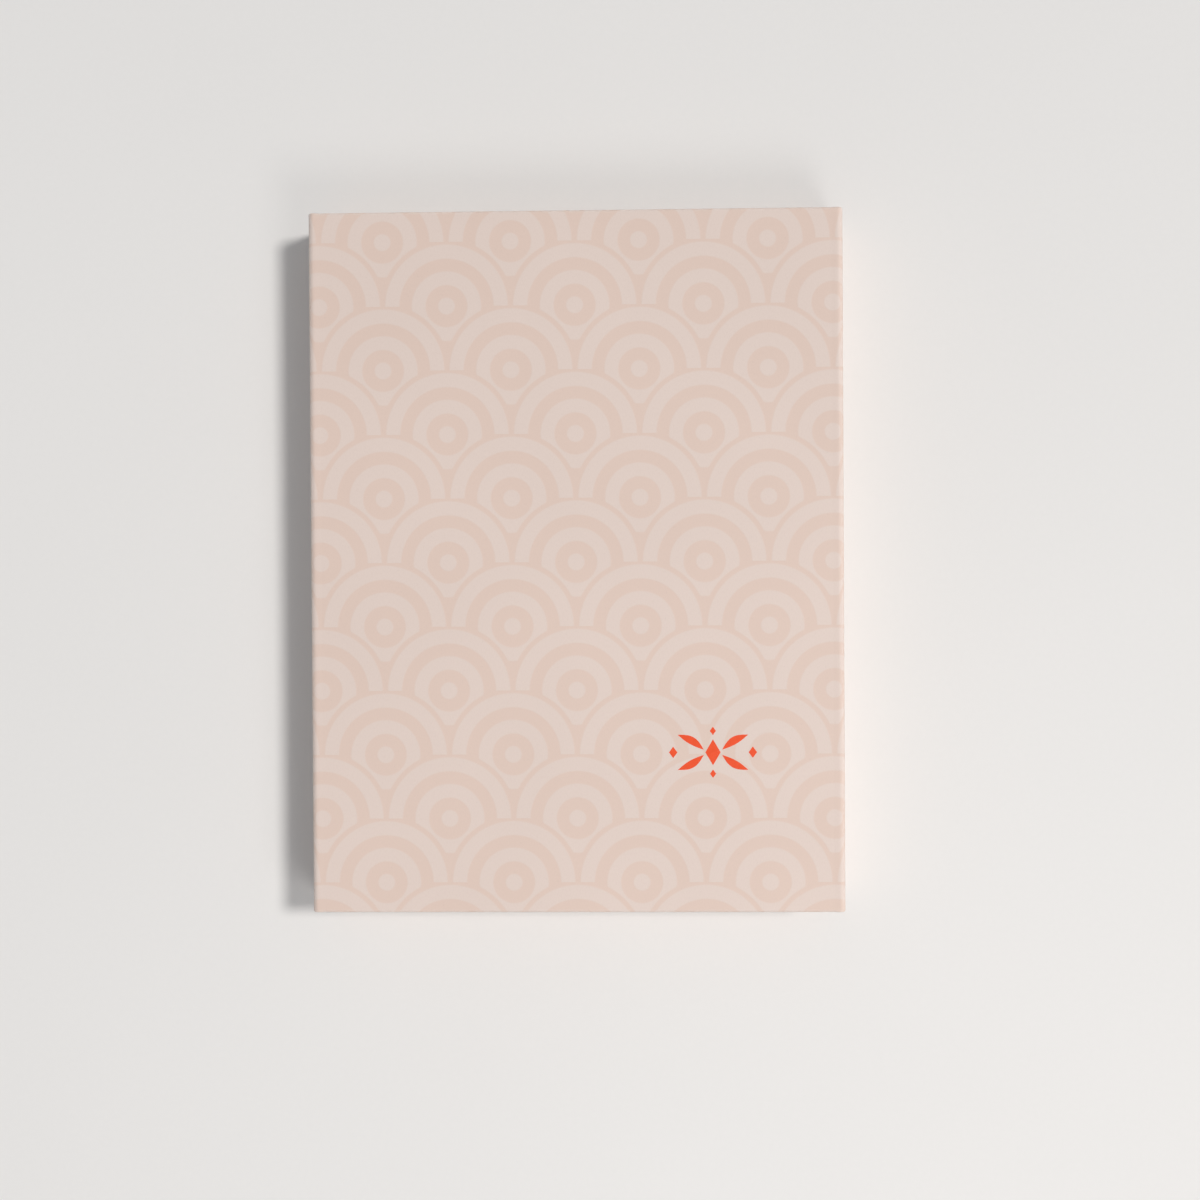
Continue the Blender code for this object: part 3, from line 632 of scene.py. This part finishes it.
ENDS = [(Y_AXIS, BACK), (-Y_AXIS, BACK)]


def lid_cover():
    reach = RIGHT - REACH
    creases = [(X_AXIS, reach), (-X_AXIS, reach)]
    panel = [((-reach, TOP), (reach, TOP)), (Z_AXIS, TOP), ENDS, creases, TURN_IN]
    obj = case_cover("lid_cover", Z_AXIS, [panel])
    lay_out(obj, lid_place)
    return obj, "lid", "lid_wrap"


def flap_cover():
    sides = [*ENDS, (-Z_AXIS, -FLAP_FOOT)]
    creases = [(Z_AXIS, TOP - REACH)]
    ends = ((RIGHT, TOP - REACH), (RIGHT, FLAP_FOOT))
    obj = case_cover("flap_cover", X_AXIS, [[ends, (X_AXIS, RIGHT), sides, creases, FLAP_TURN_IN]])
    lay_out(obj, flap_place)
    return obj, "flap", "flap_wrap"


def base_cover():
    base_ends = ((BASE_END, 0), (LEFT + REACH, 0))
    spine_ends = ((LEFT, REACH), (LEFT, TOP - REACH))
    base_sides = [*ENDS, (X_AXIS, BASE_END)]
    spine_creases = [(-Z_AXIS, -REACH), (Z_AXIS, TOP - REACH)]
    panels = [
        [base_ends, (-Z_AXIS, 0.0), base_sides, [(-X_AXIS, RIGHT - REACH)], TURN_IN],
        [spine_ends, (-X_AXIS, RIGHT), ENDS, spine_creases, TURN_IN],
    ]
    obj = case_cover("base_cover", -Z_AXIS, panels)
    lay_out(obj, base_place)
    return obj, "base", "base_wrap"


# Creases: the bare cover paper between two boards, and the lining glued to its inner side


def bend_section(side, depth, count, lower=False):
    """(point, outward normal) from the level board's end to the upright board's, at a depth."""
    up = -1 if lower else 1
    level = 0.0 if lower else TOP
    centre = Vector((side * (RIGHT - BEND_RADIUS), 0, level - up * BEND_RADIUS))
    angles = [math.radians(90 * i / count) for i in range(count + 1)]
    normals = [Vector((side * math.sin(a), 0, up * math.cos(a))) for a in angles]
    made = [(centre + n * (BEND_RADIUS - depth), n) for n in normals]
    first = Vector((side * (RIGHT - REACH), 0, level - up * depth))
    last = Vector((side * (RIGHT - depth), 0, level - up * REACH))

    def between(start, end, normal):
        return [(start.lerp(end, i / 8), normal) for i in range(8)]

    return [
        *between(first, made[0][0], normals[0]),
        *made,
        *reversed(between(last, made[-1][0], normals[-1])),
    ]


def grid_sheet(name, rows, material, thickness, *more):
    """A sheet through rows of points, thickened on both sides, and more such sheets in the same piece."""
    bm = bmesh.new()
    for grid in (rows, *more):
        made = [[bm.verts.new(point) for point in row] for row in grid]
        for first, second in zip(made, made[1:]):
            for i in range(len(first) - 1):
                bm.faces.new((first[i], first[i + 1], second[i + 1], second[i]))
    obj = mesh_piece(name, bm, material)
    thick = obj.modifiers.new("thick", "SOLIDIFY")
    thick.thickness = thickness
    thick.offset = 0
    return settle(obj, SMOOTH_SHEET_BELOW)


def hem_profile(radius):
    """(y, depth) along the crease paper: a soft hem at both ends, and the turned-in layer behind."""
    half = COVER_PAPER / 2
    larger = (radius - half) / (HEM_ROUND - half)
    round_end = arc((BACK - radius, radius), radius - half, -90, 75, 8)
    end = [(y, min(depth, radius + (depth - radius) / larger)) for y, depth in round_end]
    inner = COVER_PAPER + HEM_GAP + half
    settling = [(1.3, 0.20), (1.8, 0.12), (2.4, 0.05), (3.2, 0.01), (TURN_IN / MM, 0.0)]
    far = [*end, *[(BACK - run * MM, inner + drop * MM) for run, drop in settling]]
    return [*[(-y, depth) for y, depth in reversed(far)], *far]


def crease_cover(name, side, lower=False):
    section = bend_section(side, 0.0, 12, lower)
    rows = []
    for index, (point, normal) in enumerate(section):
        from_board = min(index, len(section) - 1 - index)
        radius = max(HEM_ROUND, FOLD_RADIUS - from_board * HEM_EASE)
        rows.append([point - normal * depth + Y_AXIS * y for y, depth in hem_profile(radius)])
    obj = grid_sheet(name, rows, PRINTED, COVER_PAPER)
    lay_out(obj, crease_place)
    return obj


LINING_EASE = 0.4 * MM
LINING_DEPTH = HEM_DEPTH + HEM_GAP + LINING_EASE + LINING_PAPER / 2


def lining_sheet(name, section, reach):
    ys = [-reach + 2 * reach * i / 8 for i in range(9)]
    rows = [[Vector((x, y, z)) for y in ys] for x, z in section]
    obj = grid_sheet(name, rows, LINING, LINING_PAPER)
    lay_out(obj, lambda co: tuple(co))
    return obj


def over_edge(side):
    """The lining's way over the end of the spine's or the flap's board into the crease."""
    inner = FLAP_LINER_LOW.x + LINING_PAPER / 2
    end_z = TOP - REACH
    steps = [
        (inner, end_z - 0.75 * MM),
        (inner + 0.12 * MM, end_z - 0.4 * MM),
        (inner + 0.38 * MM, end_z - 0.03 * MM),
        (inner + 0.8 * MM, end_z + 0.27 * MM),
        (inner + 1.4 * MM, end_z + 0.30 * MM),
        (RIGHT - LINING_DEPTH - 0.35 * MM, end_z + 0.31 * MM),
        (RIGHT - LINING_DEPTH - 0.08 * MM, end_z + 0.37 * MM),
        (RIGHT - LINING_DEPTH, end_z + 0.58 * MM),
    ]
    return [(side * x, z) for x, z in steps]


def round_lid_end(side):
    """The lining's way up the end of the lid's board into the crease."""
    level = LINER_LOW.z + LINING_PAPER / 2
    end_x = RIGHT - REACH
    steps = [
        (end_x - 1.0 * MM, level),
        (end_x - 0.5 * MM, level + 0.04 * MM),
        (end_x - 0.12 * MM, level + 0.24 * MM),
        (end_x + 0.15 * MM, level + 0.56 * MM),
        (end_x + 0.27 * MM, level + 1.1 * MM),
        (end_x + 0.27 * MM, TOP - LINING_DEPTH - 0.3 * MM),
        (end_x + 0.33 * MM, TOP - LINING_DEPTH - 0.08 * MM),
        (end_x + 0.54 * MM, TOP - LINING_DEPTH),
    ]
    return [(side * x, z) for x, z in steps]


TUCK = 0.03 * MM
BLEND_EASE = 0.15 * MM


def crease_lining(name, side):
    """The lining in a crease. Its ends are tucked under the linings of the two boards."""
    lid_way, board_way = round_lid_end(side), over_edge(side)
    centre = (side * (RIGHT - BEND_RADIUS), TOP - BEND_RADIUS)
    angles = (90, 0) if side > 0 else (90, 180)
    section = [
        *[(x, z + TUCK) for x, z in lid_way[-3:]],
        *arc(centre, BEND_RADIUS - LINING_DEPTH, *angles, 10),
        *[(x + side * TUCK, z) for x, z in reversed(board_way[-3:])],
    ]
    obj = lining_sheet(name, section, LINER_HIGH.y)
    ease = Vector((-side, 0, 1)) * BLEND_EASE
    start, end = lid_way[-1], board_way[-1]
    return obj, Vector((start[0], 0, start[1])) + ease, Vector((end[0], 0, end[1])) - ease


def lid_lining():
    left = [*reversed(round_lid_end(-1))]
    return lining_sheet("lid_lining", [*left, *round_lid_end(1)], LINER_HIGH.y), "lid", "lid_liner"


def spine_lining():
    x = SPINE_LINER_LOW.x + LINING_PAPER / 2
    section = [(x, SPINE_LINER_LOW.z), *over_edge(-1)]
    obj = lining_sheet("spine_lining", section, SPINE_LINER_HIGH.y)
    return obj, "base", "spine_liner"


def flap_lining():
    x = FLAP_LINER_LOW.x + LINING_PAPER / 2
    section = [(x, FLAP_LINER_LOW.z), *over_edge(1)]
    return lining_sheet("flap_lining", section, FLAP_LINER_HIGH.y), "flap", "flap_liner"


# Insert


def rounded_corner(x, y, radius, start):
    return arc((x, y), radius, start, start + 90, 8)


def rounded_rectangle(low, high, radius):
    return [
        *rounded_corner(high[0] - radius, high[1] - radius, radius, 0),
        *rounded_corner(low[0] + radius, high[1] - radius, radius, 90),
        *rounded_corner(low[0] + radius, low[1] + radius, radius, 180),
        *rounded_corner(high[0] - radius, low[1] + radius, radius, 270),
    ]


def notch(middle_x, edge_y, side, depth):
    radius = (NOTCH_WIDTH**2 / 4 + depth**2) / (2 * depth)
    half = math.degrees(math.asin(NOTCH_WIDTH / 2 / radius))
    centre = (middle_x, edge_y + side * (depth - radius))
    return arc(centre, radius, 90 * side - half, 90 * side + half, 16)


def grown(low, high, amount):
    return (low.x - amount, low.y - amount), (high.x + amount, high.y + amount)


def insert_outlines():
    outer = rounded_rectangle(PLATFORM_LOW.xy, PLATFORM_HIGH.xy, INSERT_CORNER)
    card = rounded_rectangle(*grown(CARD_LOW, CARD_HIGH, CARD_PLAY), WELL_ROUND)
    low, high = grown(ENVELOPE_LOW, ENVELOPE_HIGH, ENVELOPE_PLAY)
    web = CARD_LOW.y - CARD_PLAY - high[1]
    depth = web * NOTCH_DEPTH_SHARE
    well = rounded_rectangle(low, high, WELL_ROUND)
    count = len(well) // 4
    notched = [
        *well[:count],
        *notch(MIDDLE_X, high[1], 1, depth),
        *well[count : 3 * count],
        *notch(MIDDLE_X, low[1], -1, depth),
        *well[3 * count :],
    ]
    return [outer, card, notched]


def flat_piece(name, outlines, low, high, edge, material):
    """A flat piece from closed outlines, with rounded top and bottom edges."""
    curve = bpy.data.curves.new(name, "CURVE")
    curve.dimensions = "2D"
    curve.fill_mode = "BOTH"
    curve.extrude = (high - low) / 2 - edge
    curve.bevel_depth = edge
    curve.bevel_resolution = 3
    curve.offset = -edge
    for outline in outlines:
        spline = curve.splines.new("POLY")
        spline.points.add(len(outline) - 1)
        for point, (x, y) in zip(spline.points, outline):
            point.co = (x, y, 0.0, 1.0)
        spline.use_cyclic_u = True
    curve.materials.append(material)
    obj = bpy.data.objects.new(name, curve)
    bpy.context.scene.collection.objects.link(obj)
    obj = settle(obj)
    for vertex in obj.data.vertices:
        vertex.co.z += (low + high) / 2
    return obj


def insert_pieces():
    outlines = insert_outlines()
    platform = flat_piece("foam_platform", outlines, PLATFORM_LOW.z, PLATFORM_HIGH.z, 0.25 * MM, FOAM)
    spacer = flat_piece("foam_spacer", outlines[:1], SPACER_LOW.z, SPACER_HIGH.z, 0.4 * MM, FOAM)
    facing = flat_piece("facing_sheet", outlines, FACING_LOW.z, FACING_HIGH.z, 0.1 * MM, FLOCK)
    return [
        (platform, "base", "insert_platform"),
        (spacer, "base", "insert_spacer"),
        (facing, "base", "insert_facing"),
    ]


# Contents


def card():
    outline = rounded_rectangle(CARD_LOW.xy, CARD_HIGH.xy, CARD_CORNER)
    piece = flat_piece("card_body", [outline], CARD_LOW.z, CARD_HIGH.z, 0.12 * MM, CARD_FACE)
    return piece, "base", "gift_card"


RIBBON_THICKNESS = 0.25 * MM
RIBBON_TAIL = 4.0 * MM
RIBBON_BEND = 0.7 * MM
RIBBON_LIFT = 0.9 * MM
RIBBON_WAVE = 0.25 * MM
RIBBON_CURL = 0.25 * MM


def ribbon():
    """Satin ribbon: flat under the card, up the well's end and over the facing, with a swallow tail."""
    half = RIBBON_THICKNESS / 2
    under = RIBBON_LOW.z + half
    over = RIBBON_HIGH.z - half
    rise_x = CARD_HIGH.x + CARD_PLAY / 2 + RIBBON_THICKNESS / 2
    bend = RIBBON_BEND
    path = [(RIBBON_LOW.x + (rise_x - bend - RIBBON_LOW.x) * i / 30, under) for i in range(30)]
    path += arc((rise_x - bend, under + bend), bend, -90, 0, 6)
    path += arc((rise_x + bend, over - bend), bend, 180, 90, 6)
    tab = RIBBON_HIGH.x - rise_x - bend
    count = 16
    for i in range(1, count + 1):
        share = i / count
        lift = RIBBON_LIFT * share * share + RIBBON_WAVE * math.sin(share * math.pi * 1.5)
        path.append((rise_x + bend + tab * share, over + max(lift, 0.0)))
    middle = (RIBBON_LOW.y + RIBBON_HIGH.y) / 2
    width = RIBBON_HIGH.y - RIBBON_LOW.y
    columns = [-0.5, -0.42, -0.3, -0.15, 0.0, 0.15, 0.3, 0.42, 0.5]
    tail = rise_x + bend
    far = RIBBON_HIGH.x
    rows = []
    for x, z in path:
        row = []
        for share in columns:
            reach = max(0.0, (x - tail) / (far - tail))
            cut = RIBBON_TAIL * (1 - 2 * abs(share)) * reach**2
            curl = RIBBON_CURL * (2 * share) ** 2 * reach
            row.append(Vector((x - cut, middle + width * share, z + curl)))
        rows.append(row)
    length = sum(math.dist(a, b) for a, b in zip(path, path[1:]))
    obj = grid_sheet("satin_ribbon", rows, SATIN, RIBBON_THICKNESS)
    run = {}
    travelled = 0.0
    for (x, z), following in zip(path, [*path[1:], path[-1]]):
        run[(x, z)] = travelled
        travelled += math.dist((x, z), following)

    def place(co):
        nearest = min(run, key=lambda key: math.dist(key, (co.x, co.z)))
        return run[nearest], co.y - middle, 0.0

    lay_out(obj, place)
    return obj, width, length


ENVELOPE_FOLD = 0.35 * MM
ENVELOPE_PAPER = 0.2 * MM
ENVELOPE_THROAT = 1.5 * MM
ENVELOPE_PUFF = 0.35 * MM
POCKET_DROP = 0.3 * MM
FLAP_TIP = 10.0 * MM
FLAP_TIP_ROUND = 5.0 * MM
FLAP_OVERLAP = 4.0 * MM
UNDER_FLAP = ENVELOPE_PAPER + 0.1 * MM


def envelope():
    """A folded sheet, puffed a little by the card in it: side flaps, bottom flap and a pointed flap."""
    half = ENVELOPE_PAPER / 2
    low = ENVELOPE_LOW + Vector((0, half, half))
    high = ENVELOPE_HIGH - Vector((0, half, half))
    pocket = high.z - POCKET_DROP
    fold = ENVELOPE_FOLD
    reach = ENVELOPE_TIP_Y
    throat = high.y - ENVELOPE_THROAT
    bottom = low.y + fold
    width = (high.x - low.x) / 2
    middle = (high.x + low.x) / 2

    def puffed(x, y, z):
        across = min(max((y - low.y) / (high.y - low.y), 0), 1)
        puff = ENVELOPE_PUFF * math.sin(math.pi * across) * (1 - ((x - middle) / width) ** 2)
        return Vector((x, y, z + (puff if z > (low.z + pocket) / 2 else 0.0)))

    # From the bottom flap's tip down, round the bottom fold, up the back and over to the pointed flap
    path = [(bottom + (reach + FLAP_OVERLAP - bottom) * (1 - i / 12), pocket) for i in range(12)]
    path += arc((bottom, pocket - fold), fold, 90, 180, 4)
    path += arc((bottom, low.z + fold), fold, 180, 270, 4)
    path += [(bottom + (high.y - low.y - 2 * fold) * i / 10, low.z) for i in range(1, 10)]
    path += arc((high.y - fold, low.z + fold), fold, -90, 0, 4)
    path += arc((high.y - fold, high.z - fold), fold, 0, 90, 4)
    path += [(high.y - fold + (reach - high.y + fold) * i / 14, high.z) for i in range(1, 15)]
    flap_from = len(path) - 15
    columns = [math.sin(math.radians(90 * (i / 8 - 1))) for i in range(17)]
    rows = []
    for index, (y, z) in enumerate(path):
        share = max(0.0, 1 - index / 12, (index - flap_from - 1) / 13)
        span = width + (FLAP_TIP / 2 - width) * share
        drop = FLAP_TIP_ROUND * 0.5 * share**3 * (1 if index > flap_from else -1)
        rows.append([puffed(middle + span * column, y + drop * column**4, z) for column in columns])

    # The side flaps, from one side of the back over to the other
    level = pocket - UNDER_FLAP
    inset = half + fold
    section = [(low.x + half, low.z + half)]
    section += arc((low.x + inset, level - fold), fold, 180, 90, 4)
    section += [(middle + (width - inset) * column, level) for column in columns[1:-1]]
    section += arc((high.x - inset, level - fold), fold, 90, 0, 4)
    section += [(high.x - half, low.z + half)]
    sides = [[puffed(x, bottom + (throat - bottom) * i / 12, z) for x, z in section] for i in range(13)]
    obj = grid_sheet("envelope_sheet", rows, LAID, ENVELOPE_PAPER, sides)
    lay_out(obj, lambda co: (co.x, co.y, co.z * 4))
    return obj, "base", "envelope"


# Ornament: a plain printer's flower, stamped where the lid has its accent


def leaf(start, end, bulge, count=10):
    """A pointed leaf between two points, fuller on one side."""
    start, end = Vector(start), Vector(end)
    along = end - start
    side = Vector((-along.y, along.x)).normalized()
    shares = [i / count for i in range(count)]
    upper = [start + along * s + side * (bulge * math.sin(math.pi * s)) for s in shares]
    lower = [end - along * s - side * (0.35 * bulge * math.sin(math.pi * s)) for s in shares]
    return [tuple(point) for point in upper + lower]


def lozenge(x, half_width, half_height):
    return [(x + half_width, 0), (x, half_height), (x - half_width, 0), (x, -half_height)]


def ornament(scale):
    """A centre lozenge with four leaves and four small lozenges round it."""
    shapes = [lozenge(0.0, 2.0, 3.4)]
    for side in (-1, 1):
        shapes.append(lozenge(side * 10.4, 1.1, 1.5))
        shapes.append([(x, y + side * 5.6) for x, y in lozenge(0.0, 0.8, 1.1)])
        for turn in (-1, 1):
            shapes.append(leaf((side * 2.4, 0.7 * turn), (side * 9.2, 4.6 * turn), side * turn * 1.5))
    return [[(x * scale * MM, y * scale * MM) for x, y in shape] for shape in shapes]


def stamped(name, scale, centre, level, material):
    """Foil shapes, pressed flush into the surface with their edges just proud of it."""
    outlines = [[(x + centre[0], y + centre[1]) for x, y in shape] for shape in ornament(scale)]
    return flat_piece(name, outlines, level - 0.03 * MM, level + 0.02 * MM, 0.01 * MM, material)


# Build the pieces and put them on their bodies

rigid = [
    lid_cover(),
    flap_cover(),
    base_cover(),
    lid_lining(),
    spine_lining(),
    flap_lining(),
    *insert_pieces(),
    card(),
    envelope(),
]
for piece, body, node in rigid:
    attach(piece, body)
    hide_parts(node)

satin_ribbon, ribbon_width, ribbon_length = ribbon()
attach(satin_ribbon, "base")
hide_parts("pull_ribbon")


base_crease = crease_cover("base_crease", -1, lower=True)
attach(base_crease, "base")
spine_crease = crease_cover("spine_crease", -1)
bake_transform(spine_crease)
flap_crease = crease_cover("flap_crease", 1)
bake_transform(flap_crease)
spine_crease_lining, lid_side, board_side = crease_lining("spine_crease_lining", -1)
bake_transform(spine_crease_lining)
flap_crease_lining, lid_side, board_side = crease_lining("flap_crease_lining", 1)
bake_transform(flap_crease_lining)

ORNAMENT_PLACE = (35.5 * MM, -50.0 * MM)
lid_ornament = stamped("lid_ornament", 1.0, ORNAMENT_PLACE, TOP, FOIL)
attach(lid_ornament, "lid")
card_middle = (CARD_LOW + CARD_HIGH) / 2
card_ornament = stamped("card_ornament", 0.9, card_middle.xy, CARD_HIGH.z, FOIL)
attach(card_ornament, "base")

KEPT = {
    "base_board": BOARD,
    "spine_board": BOARD,
    "tray_board": BOARD,
    "lid_board": BOARD,
    "flap_board": BOARD,
    "tray_wrap": PLAIN,
    "tray_liner": LINING,
    "note_card": STOCK,
    "tray_magnet_front": NICKEL,
    "tray_magnet_back": NICKEL,
    "flap_magnet_front": NICKEL,
    "flap_magnet_back": NICKEL,
}
for node, material in KEPT.items():
    solid = NODES[node]
    solid.data.materials.clear()
    solid.data.materials.append(material)
    soften(solid.data, SMOOTH_BELOW)
    joined = solid.modifiers.new("joined", "WELD")
    joined.merge_threshold = SAME_PLACE
    creased = solid.modifiers.new("creased", "EDGE_SPLIT")
    creased.split_angle = math.radians(SMOOTH_BELOW)
    creased.use_edge_sharp = False
    solid.modifiers.new("even", "WEIGHTED_NORMAL")


# Floor, light and camera

FLOOR_RADIUS = 12.0
FLOOR_GAP = 0.05 * MM
SKY_LOW, SKY_HIGH = 0.70, 0.34
CAMERA_PLACE = (19.2 * MM, -5.4 * MM, TOP + 440.4 * MM)
CAMERA_TURN = (-0.61, 1.69, -0.34)
CAMERA_LENS = 50.5


def floor():
    bm = bmesh.new()
    bmesh.ops.create_circle(bm, cap_ends=True, segments=96, radius=FLOOR_RADIUS)
    bmesh.ops.translate(bm, verts=bm.verts, vec=Z_AXIS * -FLOOR_GAP)
    obj = mesh_piece("floor", bm, floor_paint())


def lamp(name, kind, direction, distance, power, colour, **settings):
    data = bpy.data.lights.new(name, kind)
    data.energy = power
    data.color = colour
    for key, value in settings.items():
        setattr(data, key, value)
    obj = bpy.data.objects.new(name, data)
    bpy.context.scene.collection.objects.link(obj)
    obj.location = Vector(direction).normalized() * distance
    obj.rotation_euler = (-obj.location).to_track_quat("-Z", "Y").to_euler()


def world():
    """A soft sky that is brighter near the floor."""
    made = bpy.data.worlds.new("studio")
    made.use_nodes = True
    nodes, links = made.node_tree.nodes, made.node_tree.links
    background = nodes["Background"]
    background.inputs["Color"].default_value = (0.95, 0.97, 1.0, 1)
    place = nodes.new("ShaderNodeTexCoord")
    parts = nodes.new("ShaderNodeSeparateXYZ")
    fade = nodes.new("ShaderNodeMapRange")
    fade.interpolation_type = "SMOOTHSTEP"
    for socket, value in (("From Max", 0.45), ("To Min", SKY_LOW), ("To Max", SKY_HIGH)):
        fade.inputs[socket].default_value = value
    links.new(place.outputs["Generated"], parts.inputs["Vector"])
    links.new(parts.outputs["Z"], fade.inputs["Value"])
    links.new(fade.outputs["Result"], background.inputs["Strength"])
    bpy.context.scene.world = made


def camera():
    data = bpy.data.cameras.new("camera")
    data.sensor_width = 36.0
    data.lens = CAMERA_LENS
    data.clip_start = 0.01
    data.clip_end = 10.0
    obj = bpy.data.objects.new("camera", data)
    bpy.context.scene.collection.objects.link(obj)
    obj.location = CAMERA_PLACE
    obj.rotation_euler = [math.radians(angle) for angle in CAMERA_TURN]
    bpy.context.scene.camera = obj


floor()
lamp("key", "SUN", (0.86, 0.25, 1.45), 1.0, 1.83, (1.0, 0.97, 0.94), angle=math.radians(10))
lamp("softbox", "AREA", (0.55, -0.75, 1.2), 0.6, 0.66, (1.0, 0.95, 0.92), shape="DISK", size=0.25)
world()
camera()
bpy.context.scene.view_settings.view_transform = "Standard"
